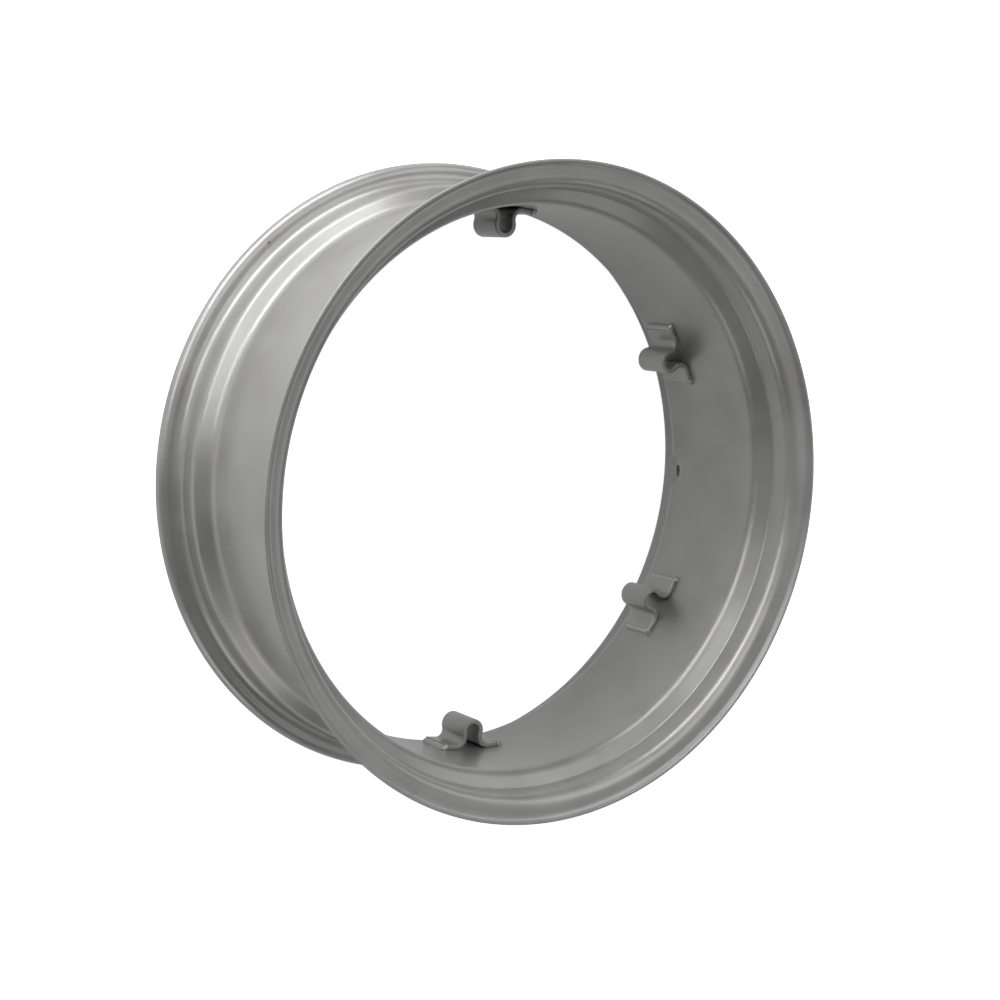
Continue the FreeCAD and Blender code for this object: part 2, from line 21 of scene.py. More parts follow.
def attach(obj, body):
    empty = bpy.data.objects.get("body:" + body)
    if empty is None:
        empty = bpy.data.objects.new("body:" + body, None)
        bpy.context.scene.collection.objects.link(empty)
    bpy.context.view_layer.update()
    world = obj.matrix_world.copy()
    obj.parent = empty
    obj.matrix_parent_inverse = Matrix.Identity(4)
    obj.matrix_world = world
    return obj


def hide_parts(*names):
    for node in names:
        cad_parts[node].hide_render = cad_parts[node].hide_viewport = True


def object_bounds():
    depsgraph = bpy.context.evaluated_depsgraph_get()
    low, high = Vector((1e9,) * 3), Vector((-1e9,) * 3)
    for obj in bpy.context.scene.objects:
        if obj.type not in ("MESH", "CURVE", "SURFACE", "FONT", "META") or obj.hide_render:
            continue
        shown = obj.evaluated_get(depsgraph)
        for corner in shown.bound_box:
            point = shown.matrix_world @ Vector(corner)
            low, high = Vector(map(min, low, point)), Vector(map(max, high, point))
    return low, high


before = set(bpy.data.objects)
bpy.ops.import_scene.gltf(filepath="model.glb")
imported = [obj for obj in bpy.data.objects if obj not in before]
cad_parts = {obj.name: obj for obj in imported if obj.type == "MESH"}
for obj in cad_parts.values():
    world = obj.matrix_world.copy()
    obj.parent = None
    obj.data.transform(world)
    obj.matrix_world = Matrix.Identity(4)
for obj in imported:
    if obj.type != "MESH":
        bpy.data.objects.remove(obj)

CAD_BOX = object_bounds()
print("CAD box:", [[round(float(v), 4) for v in corner] for corner in CAD_BOX])

# %% [markdown]
# ## Units, colours and nodes
#
# Blender works in metres and a wheel maker in millimetres, so every size is written in
# millimetres and multiplied by MM once. Two helpers are used everywhere: one turns the hex
# colour of a paint card into Blender's linear colour, and one adds a node with its settings and
# links.

# %% Units, colours and the one node helper
MM = 0.001
FLOOR_LEVEL = CAD_BOX[0][2]


def paint_card(hex_code):
    """Linear colour of an sRGB hex value such as 'A0A0A0'."""
    channels = [int(hex_code[i:i + 2], 16) / 255 for i in (0, 2, 4)]
    linear = [c / 12.92 if c <= 0.04045 else ((c + 0.055) / 1.055) ** 2.4 for c in channels]
    return (*linear, 1.0)


def add_node(tree, kind, settings=None, **links):
    """Adds a node. Settings are its properties. Links are its inputs, by name or as _0, _1 by
    number, each with a value or with the output that feeds it."""
    node = tree.nodes.new(kind)
    for key, value in (settings or {}).items():
        setattr(node, key, value)
    for key, source in links.items():
        socket = node.inputs[int(key[1:]) if key[0] == "_" else key.replace("_", " ")]
        if isinstance(source, bpy.types.NodeSocket):
            tree.links.new(source, socket)
        else:
            socket.default_value = source
    return node


print("floor level in mm:", round(FLOOR_LEVEL / MM, 2))

# %% [markdown]
# ## The paint
#
# The real finish is a silver enamel: a clear resin with fine aluminium flakes, sprayed on and
# left to dry. The flakes make it darker where the surface turns away from the light, as a metal
# does, but the resin spreads the shine into a broad satin glow. It could be a plain grey gloss
# paint or a bare metal. A mix of the two is closest: partly metallic, middling roughness, and a
# thin coat for the resin. Sprayed paint also dries with a fine orange peel, and the flakes lie a
# little unevenly, which gives pale and dark clouds a hand wide. Those are noise patterns in
# object coordinates, so they stay on the metal from every side.

# %% Sizes of the paint's patterns, in millimetres
SPRAY_CLOUD = 75.0
ROLLING_RING = 5.5
MILL_SCALE = 3.0
ORANGE_PEEL = 2.2
FLAKE_DRIFT = 0.9  # real flakes are 0.03 mm, drawn coarser so that they show
print("paint patterns in mm:", SPRAY_CLOUD, ROLLING_RING, MILL_SCALE, ORANGE_PEEL, FLAKE_DRIFT)

# %% Shares and levels of the enamel, from 0 to 1
FLAKE_SHARE = 0.55  # how much of the shine is metallic
RESIN_COAT = 0.36
RESIN_ROUGHNESS = 0.14
GRAIN_SHARE = 0.35
TONE_RANGE = (0.45, 0.95)  # noise from the darkest to the lightest paint
DRY_RANGE = (0.3, 0.7)  # noise from the wettest to the driest spray
DRY_SPRAY = 0.035  # roughness that the spray adds or takes off
print("flakes and resin:", FLAKE_SHARE, RESIN_COAT)


# %% Relief: orange peel, faint rings of the rolls, and the strap's mill scale
def enamel_relief(tree, place, peel_height, ring_height, scale_height):
    """Output with the height of the skin. The heights are in millimetres."""
    peel = add_node(tree, "ShaderNodeTexNoise", Vector=place, Scale=1 / (ORANGE_PEEL * MM),
                    Detail=2.0, Roughness=0.45)
    relief = add_node(tree, "ShaderNodeMath", {"operation": "MULTIPLY"},
                      _0=peel.outputs["Fac"], _1=peel_height * MM)
    if ring_height:
        parts = add_node(tree, "ShaderNodeSeparateXYZ", Vector=place)
        flat = add_node(tree, "ShaderNodeCombineXYZ", X=parts.outputs["X"], Y=parts.outputs["Y"])
        radius = add_node(tree, "ShaderNodeVectorMath", {"operation": "LENGTH"},
                          _0=flat.outputs[0])
        rolled = add_node(tree, "ShaderNodeCombineXYZ", X=radius.outputs["Value"],
                          Y=parts.outputs["Z"])
        rings = add_node(tree, "ShaderNodeTexNoise", Vector=rolled.outputs[0],
                         Scale=1 / (ROLLING_RING * MM), Detail=2.0, Roughness=0.5)
        relief = add_node(tree, "ShaderNodeMath", {"operation": "MULTIPLY_ADD"},
                          _0=rings.outputs["Fac"], _1=ring_height * MM, _2=relief.outputs[0])
    if scale_height:
        scale = add_node(tree, "ShaderNodeTexVoronoi", Vector=place,
                         Scale=1 / (MILL_SCALE * MM), Randomness=1.0)
        relief = add_node(tree, "ShaderNodeMath", {"operation": "MULTIPLY_ADD"},
                          _0=scale.outputs["Distance"], _1=scale_height * MM,
                          _2=relief.outputs[0])
    return relief.outputs[0]


# %% Silver enamel, sprayed, one function for band, straps and welds
def silver_enamel(name, light, dark, roughness, peel_height, ring_height=0.0, scale_height=0.0):
    """Sprayed silver enamel over steel. Heights are in millimetres."""
    material = bpy.data.materials.new(name)
    material.use_nodes = True
    tree = material.node_tree
    shader = tree.nodes["Principled BSDF"]
    place = add_node(tree, "ShaderNodeTexCoord").outputs["Object"]

    # uneven flakes: wide clouds of spray and a fine grain
    clouds = add_node(tree, "ShaderNodeTexNoise", Vector=place, Scale=1 / (SPRAY_CLOUD * MM),
                      Detail=3.0, Roughness=0.5)
    grain = add_node(tree, "ShaderNodeTexNoise", Vector=place, Scale=1 / (FLAKE_DRIFT * MM),
                     Detail=1.0, Roughness=0.4)
    blend = add_node(tree, "ShaderNodeMath", {"operation": "MULTIPLY_ADD"},
                     _0=grain.outputs["Fac"], _1=GRAIN_SHARE, _2=clouds.outputs["Fac"])
    level = add_node(tree, "ShaderNodeMapRange", Value=blend.outputs[0],
                     From_Min=TONE_RANGE[0], From_Max=TONE_RANGE[1])
    tone = add_node(tree, "ShaderNodeMix", {"data_type": "RGBA"}, _0=level.outputs[0],
                    _6=paint_card(dark), _7=paint_card(light))

    # dry spray is rougher where the clouds are pale
    gloss = add_node(tree, "ShaderNodeMapRange", Value=clouds.outputs["Fac"],
                     From_Min=DRY_RANGE[0], From_Max=DRY_RANGE[1],
                     To_Min=roughness - DRY_SPRAY, To_Max=roughness + DRY_SPRAY)

    relief = enamel_relief(tree, place, peel_height, ring_height, scale_height)
    bump = add_node(tree, "ShaderNodeBump", Height=relief, Strength=1.0, Distance=1.0)

    tree.links.new(tone.outputs[2], shader.inputs["Base Color"])
    tree.links.new(gloss.outputs[0], shader.inputs["Roughness"])
    tree.links.new(bump.outputs[0], shader.inputs["Normal"])
    shader.inputs["Metallic"].default_value = FLAKE_SHARE
    shader.inputs["Coat Weight"].default_value = RESIN_COAT
    shader.inputs["Coat Roughness"].default_value = RESIN_ROUGHNESS
    return material


# Rolled sheet: smooth, with the faint rings that the rolls leave.
band_paint = silver_enamel("silver_enamel_on_rolled_sheet", "AEAEAD", "9D9C9B",
                           roughness=0.42, peel_height=0.010, ring_height=0.006)
# Hot bent strap: the scale under the paint gives small dimples.
strap_paint = silver_enamel("silver_enamel_on_bent_strap", "B2B2B1", "A2A1A0",
                            roughness=0.40, peel_height=0.016, scale_height=0.03)
# Weld bead: the paint lies thick in the ripples and shines more.
weld_paint = silver_enamel("silver_enamel_on_weld_bead", "C4C4C3", "B0AFAE",
                           roughness=0.33, peel_height=0.022)
print("paints:", [paint.name for paint in (band_paint, strap_paint, weld_paint)])

# %% [markdown]
# ## The band's section
#
# A roll former bends a flat strip, so the section is a chain of straight runs joined by bends
# of one thickness. It could be drawn by hand as a curve, but the makers give it as corners and
# bend radii, so the lesson does the same: a closed list of corners, each with its radius, and
# one function that replaces a corner by its arc. The tyre side and the axis side run parallel,
# one sheet thickness apart, up to the trimmed lip, which the rolls leave thinner.
#
# The bright lines in the photograph lie at the bends, so they tell the bends and the slope more
# sharply than an outline does. The slope is 7 degrees steeper here than in the solids and the
# bends are rounder. Nowhere is the skin more than 1.6 mm from theirs, and the diameters and
# the width are the same.

# %% Sizes of the section, in millimetres
SEAT_DIAMETER = 711.2
RIM_WIDTH = 254.0  # between the tyre sides of the flanges
FLANGE_HEIGHT = 24.5
SHEET = 4.8
HEEL_BEND = 13.0
FLANGE_FLAT = 0.5  # between the heel bend and the curl
SEAT_TAPER = math.radians(5.0)
SEAT_WIDTH = 31.0
SEAT_BEND = 5.5
SLOPE = math.radians(49.0)
WELL_BEND = 16.0
WELL_RADIUS = 659.4 / 2
CURL = FLANGE_HEIGHT - HEEL_BEND - FLANGE_FLAT
LIP_RADIUS = SEAT_DIAMETER / 2 + FLANGE_HEIGHT
LIP_LEVEL = RIM_WIDTH / 2 + CURL
print("lip in mm: radius", LIP_RADIUS, "level", LIP_LEVEL)

# %% Sizes of the trimmed lip, in millimetres
LIP_ROUND = 1.2
LIP_THINNING = 1.1
CURL_TURN = math.radians(50.0)  # rise of the cone behind the lip, on the axis side
CONE_BEND = 9.5  # from the flange to the cone
EDGE_BEND = 2.0  # from the cone to the upright edge
EDGE_HEIGHT = 2.0
print("lip thickness in mm:", round(SHEET - LIP_THINNING, 2))


# %% Corners of one side of the strip, from the well to the front lip
def strip_side(inset):
    """Corners as radius, height and bend. The inset is 0 on the tyre side, SHEET on the axis
    side."""
    seat = SEAT_DIAMETER / 2
    well = WELL_RADIUS + SHEET - inset
    slope_point = (seat - SEAT_WIDTH * math.tan(SEAT_TAPER) - inset * math.cos(SLOPE),
                   RIM_WIDTH / 2 - SEAT_WIDTH + inset * math.sin(SLOPE))
    seat_radius = seat - inset / math.cos(SEAT_TAPER)
    foot = (well, slope_point[1] - (slope_point[0] - well) / math.tan(SLOPE))
    seat_there = seat_radius + (slope_point[1] - RIM_WIDTH / 2) * math.tan(SEAT_TAPER)
    rise = (seat_there - slope_point[0]) / (math.tan(SLOPE) - math.tan(SEAT_TAPER))
    brow = (slope_point[0] + rise * math.tan(SLOPE), slope_point[1] + rise)
    level = RIM_WIDTH / 2 + inset
    heel = (seat_radius + inset * math.tan(SEAT_TAPER), level)
    side = [(*foot, WELL_BEND + inset), (*brow, SEAT_BEND + SHEET - inset),
            (*heel, HEEL_BEND + inset)]
    if not inset:
        return side + [(LIP_RADIUS, level, CURL), (LIP_RADIUS, LIP_LEVEL, 0.0)]
    edge = LIP_RADIUS - inset + LIP_THINNING
    edge_foot = LIP_LEVEL - EDGE_HEIGHT
    cone = edge - (edge_foot - level) / math.tan(CURL_TURN)
    return side + [(cone, level, CONE_BEND), (edge, edge_foot, EDGE_BEND), (edge, LIP_LEVEL, 0.0)]


def mirrored(side):
    """The same side below the middle of the wheel, from the back lip to the well."""
    return [(r, -z, bend) for r, z, bend in reversed(side)]


print("tyre side corners in mm:",
      [tuple(round(v, 1) for v in corner[:2]) for corner in strip_side(0.0)])

# %% Bends
ARC_STEP = math.radians(8)
ARC_PARTS = 2  # at least


def bend_corner(before, corner, after, radius):
    """The corner itself, or the points of the arc that replaces it."""
    if radius == 0.0:
        return [corner]
    one = (before - corner).normalized()
    two = (after - corner).normalized()
    half = one.angle(two) / 2
    centre = corner + (one + two).normalized() * (radius / math.sin(half))
    start = corner + one * (radius / math.tan(half)) - centre
    turn = math.pi - 2 * half
    sign = 1 if start.cross(corner - centre) > 0 else -1
    parts = max(ARC_PARTS, round(turn / ARC_STEP))
    return [centre + Matrix.Rotation(sign * turn * i / parts, 2) @ start for i in range(parts + 1)]


def closed_section():
    """The strip's outline in millimetres, as (radius, height) points, tyre side first."""
    tyre = mirrored(strip_side(0.0)) + strip_side(0.0)
    axis = mirrored(strip_side(SHEET)) + strip_side(SHEET)
    corners = tyre + list(reversed(axis))
    places = [Vector(corner[:2]) for corner in corners]
    outline = []
    for i, corner in enumerate(corners):
        following = places[(i + 1) % len(corners)]
        outline += bend_corner(places[i - 1], places[i], following, corner[2])
    return outline


print("section points with bends:", len(closed_section()))

# %% Rounded lips
NEAR = 1e-6  # two levels closer than this are one
FAR = 0.01  # two points further apart than this are two
LIP_CLEARANCE = 0.8 * LIP_ROUND  # no other point may lie this close to the lip


def round_lips(outline):
    """Rounds the four trimmed corners of the lips and leaves a flat ring between them."""
    result = []
    for i, point in enumerate(outline):
        if abs(abs(point.y) - LIP_LEVEL) >= NEAR:
            if abs(point.y) < LIP_LEVEL - LIP_CLEARANCE:
                result.append(point)
            continue
        neighbours = [outline[i - 1], outline[(i + 1) % len(outline)]]
        same = [abs(abs(n.y) - LIP_LEVEL) < NEAR and (n - point).length > FAR for n in neighbours]
        if not any(same):
            continue
        on_tyre_side = point.x > LIP_RADIUS - LIP_ROUND
        across = Vector((-LIP_ROUND if on_tyre_side else LIP_ROUND, 0))
        down = Vector((0, -math.copysign(LIP_ROUND, point.y)))
        side, end = point + down, point + across
        arc = [side.lerp(point, t).lerp(point.lerp(end, t), t) for t in (0, 0.25, 0.5, 0.75, 1)]
        result += arc if same[1] else list(reversed(arc))
    return result


lipped = round_lips(closed_section())
print("section points with rounded lips:", len(lipped))

# %% Points on the straights, so that the paint and the press have enough to move
FACE_LENGTH = 16.0
PRESSED_FACE_LENGTH = 2.0
PRESSED_ZONE = (-108.0, -48.0)
SHORTEST = 1e-4


def fill_straights(outline, longest_at):
    """Splits each stretch that is longer than the length allowed at its middle."""
    result = []
    for point, following in zip(outline, outline[1:] + outline[:1]):
        length = (following - point).length
        if length < SHORTEST:
            continue
        parts = max(1, math.ceil(length / longest_at((point + following) / 2)))
        result += [point.lerp(following, i / parts) for i in range(parts)]
    return result


def in_pressed_zone(level):
    """Whether a height lies where the valve's flat is pressed."""
    return PRESSED_ZONE[0] < level < PRESSED_ZONE[1]


section = fill_straights(
    fill_straights(lipped, lambda middle: FACE_LENGTH),
    lambda middle: PRESSED_FACE_LENGTH if in_pressed_zone(middle.y) else FACE_LENGTH)
print("section points:", len(section))

# %% [markdown]
# ## Rolling the band
#
# A ring with one section all round is a lathe shape. The Screw modifier or the spin tool would
# do it, but a node tree is clearer: a flat grid is made with one column for each station round
# the wheel and one row for each point of the section, and every grid point is then moved to its
# radius, height and angle. The stations crowd together near angle zero, because the valve
# pressing is there and needs small faces, and they spread out on the far side.

# %% Start and end of a geometry tree
def new_tree(name, inputs):
    """A geometry node group with named inputs. Returns the tree and its input node."""
    tree = bpy.data.node_groups.new(name, "GeometryNodeTree")
    tree.interface.new_socket("Geometry", in_out="INPUT", socket_type="NodeSocketGeometry")
    for label, kind in inputs.items():
        tree.interface.new_socket(label, in_out="INPUT", socket_type="NodeSocket" + kind)
    tree.interface.new_socket("Geometry", in_out="OUTPUT", socket_type="NodeSocketGeometry")
    return tree, tree.nodes.new("NodeGroupInput")


def close_tree(tree, geometry, material):
    """Every tree ends in real geometry that carries its material."""
    real = add_node(tree, "GeometryNodeRealizeInstances", Geometry=geometry)
    painted = add_node(tree, "GeometryNodeSetMaterial", Geometry=real.outputs[0],
                       Material=material)
    add_node(tree, "NodeGroupOutput", Geometry=painted.outputs[0])


roll_tree, roll_in = new_tree("roll_section_round_axis", {
    "Stations": "Int", "Crowding": "Float", "Paint": "Material"})
print("inputs of the rolling tree:", [socket.name for socket in roll_in.outputs if socket.name])


# %% A grid with one column a station and one row a section point
def section_grid(tree, section_line, columns):
    """Returns the grid, the column and row of each of its points, the number of rows, and the
    section point that belongs to the row."""
    rows = add_node(tree, "GeometryNodeAttributeDomainSize",
                    Geometry=section_line).outputs["Point Count"]
    grid = add_node(tree, "GeometryNodeMeshGrid", Vertices_X=columns, Vertices_Y=rows)
    index = add_node(tree, "GeometryNodeInputIndex").outputs[0]
    ratio = add_node(tree, "ShaderNodeMath", {"operation": "DIVIDE"}, _0=index, _1=rows)
    column = add_node(tree, "ShaderNodeMath", {"operation": "FLOOR"}, _0=ratio.outputs[0])
    row = add_node(tree, "ShaderNodeMath", {"operation": "MODULO"}, _0=index, _1=rows)
    where = add_node(tree, "GeometryNodeInputPosition").outputs[0]
    pick = add_node(tree, "GeometryNodeSampleIndex", {"data_type": "FLOAT_VECTOR"},
                    Geometry=section_line, Value=where, Index=row.outputs[0])
    point = add_node(tree, "ShaderNodeSeparateXYZ", Vector=pick.outputs[0])
    return grid.outputs[0], column.outputs[0], row.outputs[0], rows, point


columns = add_node(roll_tree, "ShaderNodeMath", {"operation": "ADD"},
                   _0=roll_in.outputs["Stations"], _1=1.0)
grid, column, _, _, section_point = section_grid(roll_tree, roll_in.outputs["Geometry"],
                                                 columns.outputs[0])
print("nodes of the grid:", len(roll_tree.nodes))

# %% Angle of each station: 2 pi u - crowding sin(2 pi u)
share = add_node(roll_tree, "ShaderNodeMath", {"operation": "DIVIDE"},
                 _0=column, _1=roll_in.outputs["Stations"])
full = add_node(roll_tree, "ShaderNodeMath", {"operation": "MULTIPLY"},
                _0=share.outputs[0], _1=math.tau)
wave = add_node(roll_tree, "ShaderNodeMath", {"operation": "SINE"}, _0=full.outputs[0])
pull = add_node(roll_tree, "ShaderNodeMath", {"operation": "MULTIPLY"},
                _0=wave.outputs[0], _1=roll_in.outputs["Crowding"])
angle = add_node(roll_tree, "ShaderNodeMath", {"operation": "SUBTRACT"},
                 _0=full.outputs[0], _1=pull.outputs[0])
print("nodes with the angle:", len(roll_tree.nodes))

# %% Move each grid point to its place on the wheel
SEAM = 0.01  # the two ends of the grid are merged within this, in millimetres
cosine = add_node(roll_tree, "ShaderNodeMath", {"operation": "COSINE"}, _0=angle.outputs[0])
sine = add_node(roll_tree, "ShaderNodeMath", {"operation": "SINE"}, _0=angle.outputs[0])
across = add_node(roll_tree, "ShaderNodeMath", {"operation": "MULTIPLY"},
                  _0=section_point.outputs["X"], _1=cosine.outputs[0])
along = add_node(roll_tree, "ShaderNodeMath", {"operation": "MULTIPLY"},
                 _0=section_point.outputs["X"], _1=sine.outputs[0])
wheel_place = add_node(roll_tree, "ShaderNodeCombineXYZ", X=across.outputs[0],
                       Y=along.outputs[0], Z=section_point.outputs["Y"])
rolled = add_node(roll_tree, "GeometryNodeSetPosition", Geometry=grid,
                  Position=wheel_place.outputs[0])
welded = add_node(roll_tree, "GeometryNodeMergeByDistance", Geometry=rolled.outputs[0],
                  Distance=SEAM * MM)
close_tree(roll_tree, welded.outputs[0], roll_in.outputs["Paint"])
print("nodes of the finished tree:", len(roll_tree.nodes))


# %% Run a tree and measure what it made
def line_mesh(name, points, level=0.0):
    """Flat points joined by edges at one level, in millimetres. It is the input of a tree."""
    mesh = bpy.data.meshes.new(name)
    mesh.from_pydata([(point.x * MM, point.y * MM, level * MM) for point in points],
                     [(i, i + 1) for i in range(len(points) - 1)], [])
    return mesh


def run_tree(name, start_mesh, tree, values):
    """Runs a tree on a mesh and keeps the result as a plain mesh object with no modifier."""
    carrier = bpy.data.objects.new(name + "_carrier", start_mesh)
    bpy.context.scene.collection.objects.link(carrier)
    modifier = carrier.modifiers.new(name, "NODES")
    modifier.node_group = tree
    sockets = {item.name: item.identifier for item in tree.interface.items_tree
               if item.in_out == "INPUT"}
    for label, value in values.items():
        modifier[sockets[label]] = value
    graph = bpy.context.evaluated_depsgraph_get()
    mesh = bpy.data.meshes.new_from_object(carrier.evaluated_get(graph), depsgraph=graph)
    bpy.data.objects.remove(carrier)
    mesh.name = name
    piece = bpy.data.objects.new(name, mesh)
    bpy.context.scene.collection.objects.link(piece)
    measure(piece)
    return piece


def measure(piece):
    """Prints a piece's triangles, volume and open edges, and turns its faces outwards if its
    volume is negative."""
    work = bmesh.new()
    work.from_mesh(piece.data)
    open_edges = sum(1 for edge in work.edges if len(edge.link_faces) != 2)
    triangles = sum(len(face.verts) - 2 for face in work.faces)
    volume = work.calc_volume(signed=True) * 1e6
    work.free()
    if volume < 0:
        piece.data.flip_normals()
    print(f"{piece.name}: {triangles} triangles, {volume:.2f} cm3, {open_edges} open edges")


BAND_STATIONS = 400
CROWDING = 0.86  # at 1 the stations would stand still at angle zero
band = run_tree("rim_band_rolled", line_mesh("band_section", section + section[:1]), roll_tree,
                {"Stations": BAND_STATIONS, "Crowding": CROWDING, "Paint": band_paint})

# %% [markdown]
# ## The valve pressing
#
# Before the hole is punched, a die presses a small flat into the back slope, so that the valve
# stem stands square to the metal. The sheet is pushed towards the tyre and keeps its thickness.
# It could be modelled as a separate boss, but it is the same sheet, so the band's own points are
# moved: each point near the valve is lifted along the valve axis to the height of the die, where
# the die stands higher than the sheet, with a soft blend between the two.

# %% Sizes of the valve seat, in millimetres
VALVE_OFFSET = 74.4
VALVE_FOOT = 60.0  # where the plane of the flat meets the well
VALVE_TILT = math.radians(22.5)
VALVE_FLAT = 14.0
PRESS_ROUND = 4.0  # at the rim of the flat, on the axis side
VALVE_BORE = 15.9
seat_radius = WELL_RADIUS + (VALVE_OFFSET - VALVE_FOOT) * math.tan(VALVE_TILT)
valve_seat = Vector((seat_radius, 0, -VALVE_OFFSET))
valve_axis = Vector((math.cos(VALVE_TILT), 0, math.sin(VALVE_TILT)))
print("valve seat in mm:", [round(v, 1) for v in valve_seat])


# %% The die, and a soft change from sheet to die
def die_height(reach, level):
    """Height of the die above the seat at a distance from its axis, wall at 45 degrees."""
    radius = PRESS_ROUND + level
    drop = radius * math.sqrt(0.5)
    if reach <= VALVE_FLAT:
        return level
    if reach <= VALVE_FLAT + drop:
        return math.sqrt(radius ** 2 - (reach - VALVE_FLAT) ** 2) - PRESS_ROUND
    return drop - PRESS_ROUND - (reach - VALVE_FLAT - drop)


def soft_max(low, high, blend):
    """The higher of two heights, with a rounded change from one to the other."""
    mix = max(0.0, blend - abs(low - high)) / blend
    return max(low, high) + mix * mix * blend / 4


print("die height in mm at 20 mm:", round(die_height(20.0, 0.0), 2))

# %% Press the flat
PRESS_REACH = 45.0
TYRE_SIDE_BLEND = 3.0
AXIS_SIDE_BLEND = 0.8
LEAST_LIFT = 1e-4
sheet_middle = [Vector(corner[:2]) for corner in mirrored(strip_side(SHEET / 2))]


def middle_radius(level):
    """Radius of the middle of the sheet at a height, to tell the tyre side from the axis side."""
    for lower, upper in zip(sheet_middle, sheet_middle[1:]):
        if lower.y <= level <= upper.y:
            return lower.lerp(upper, (level - lower.y) / (upper.y - lower.y)).x
    return sheet_middle[-1].x


moved = 0
for vertex in band.data.vertices:
    place = vertex.co / MM
    if not in_pressed_zone(place.z) or place.x <= 0 or abs(place.y) >= PRESS_REACH:
        continue
    tyre_side = math.hypot(place.x, place.y) > middle_radius(place.z)
    level, blend = (SHEET, TYRE_SIDE_BLEND) if tyre_side else (0.0, AXIS_SIDE_BLEND)
    offset = place - valve_seat
    height = offset.dot(valve_axis)
    reach = (offset - height * valve_axis).length
    pressed = level if reach <= VALVE_FLAT else soft_max(height, die_height(reach, level), blend)
    if pressed > height + LEAST_LIFT:
        vertex.co = (place + (pressed - height) * valve_axis) * MM
        moved += 1
print("points moved by the press:", moved)

# %% Punch the valve hole
PUNCH_LENGTH = 30.0
PUNCH_SIDES = 72
work = bmesh.new()
bmesh.ops.create_cone(work, cap_ends=True, segments=PUNCH_SIDES, radius1=VALVE_BORE / 2 * MM,
                      radius2=VALVE_BORE / 2 * MM, depth=PUNCH_LENGTH * MM)
turn = Vector((0, 0, 1)).rotation_difference(valve_axis).to_matrix().to_4x4()
work.transform(Matrix.Translation(valve_seat * MM) @ turn)
punch_mesh = bpy.data.meshes.new("valve_punch")
work.to_mesh(punch_mesh)
work.free()
punch = bpy.data.objects.new("valve_punch", punch_mesh)
bpy.context.scene.collection.objects.link(punch)
cut = band.modifiers.new("valve_hole", "BOOLEAN")
cut.operation = "DIFFERENCE"
cut.solver = "EXACT"
cut.object = punch
graph = bpy.context.evaluated_depsgraph_get()
punched = bpy.data.meshes.new_from_object(band.evaluated_get(graph), depsgraph=graph)
bpy.data.objects.remove(band)
bpy.data.objects.remove(punch)
print("faces after the punch:", len(punched.polygons))


# %% One paint and smooth shading for the punched band
def smooth(piece, sharp_degrees):
    """Smooth shading that keeps corners sharper than the angle."""
    piece.data.polygons.foreach_set("use_smooth", [True] * len(piece.data.polygons))
    piece.data.set_sharp_from_angle(angle=math.radians(sharp_degrees))


band_piece = bpy.data.objects.new("rim_band_sheet", punched)
bpy.context.scene.collection.objects.link(band_piece)
punched.materials.clear()
punched.materials.append(band_paint)
punched.polygons.foreach_set("material_index", [0] * len(punched.polygons))
smooth(band_piece, sharp_degrees=32)
measure(band_piece)

# %% [markdown]
# ## A nick, and painted shade in the valve hole
#
# The back flange has a small dark nick. The punched wall of the valve hole is painted dark and
# dull: painted shade, for the shade inside the hole. A second material on a few faces would do,
# but the faces there are larger than the marks. A distance measured in the shader gives a mark
# of any size: from a line for the hole, from a point for the nick.

# %% Sizes of the two places, in millimetres
NICK_PLACE = Vector((-250.3, 272.8, -127.0))
NICK_REACH = 0.7
NICK_FADE = 1.6
# painted shade in the valve hole, measured from its axis
HOLE_SHADE_REACH = VALVE_BORE / 2 + 0.1  # the wall and a little more
HOLE_SHADE_FADE = 0.3
print("nick", NICK_REACH, "mm and hole", HOLE_SHADE_REACH, "mm from their middles")


# %% One function for both
def nick_and_painted_shade(material, centre, reach, fade, colour, line=None):
    """Darkens and dulls the paint within a reach of a point, or of a line through it. Round a point
    it makes the nick; along the valve axis it paints shade into the hole.
    """
    tree = material.node_tree
    shader = tree.nodes["Principled BSDF"]
    place = add_node(tree, "ShaderNodeTexCoord").outputs["Object"]
    away = add_node(tree, "ShaderNodeVectorMath", {"operation": "SUBTRACT"},
                    _0=place, _1=centre * MM).outputs[0]
    if line is not None:
        away = add_node(tree, "ShaderNodeVectorMath", {"operation": "CROSS_PRODUCT"},
                        _0=away, _1=line).outputs[0]
    length = add_node(tree, "ShaderNodeVectorMath", {"operation": "LENGTH"}, _0=away)
    rim = {"From_Min": reach * MM, "From_Max": (reach + fade) * MM}
    darkened_share = add_node(tree, "ShaderNodeMapRange", Value=length.outputs["Value"],
                    To_Min=1.0, To_Max=0.0, **rim)
    base = shader.inputs["Base Color"]
    mixed = add_node(tree, "ShaderNodeMix", {"data_type": "RGBA"}, _0=darkened_share.outputs[0],
                     _6=base.links[0].from_socket, _7=paint_card(colour))
    tree.links.new(mixed.outputs[2], base)
    for label in ("Coat Weight", "Specular IOR Level"):
        gloss = shader.inputs[label]
        covered = gloss.links[0].from_socket if gloss.links else gloss.default_value
        dulled = add_node(tree, "ShaderNodeMapRange", Value=length.outputs["Value"],
                          To_Min=0.0, To_Max=covered, **rim)
        tree.links.new(dulled.outputs[0], gloss)


nick_and_painted_shade(band_paint, NICK_PLACE, NICK_REACH, NICK_FADE, "646260")
# Painted shade: the valve hole's wall is darkened and dulled where the hole lies in shade.
nick_and_painted_shade(band_paint, valve_seat, HOLE_SHADE_REACH, HOLE_SHADE_FADE, "6C6B69", line=valve_axis)
print("nodes in the band's paint:", len(band_paint.node_tree.nodes))

# %% [markdown]
# ## The bolting loops
#
# Each loop is a length of flat strap, bent round a bar to an eye and then back at both sides to
# two feet that follow the well. It could be cut from a block, but a bent strap has one
# thickness everywhere, so it is swept: the middle line of the bend is drawn as arcs, and a
# rectangle with rounded corners is carried along it. One loop is made once and the tree then
# sets it at six places round the axis.

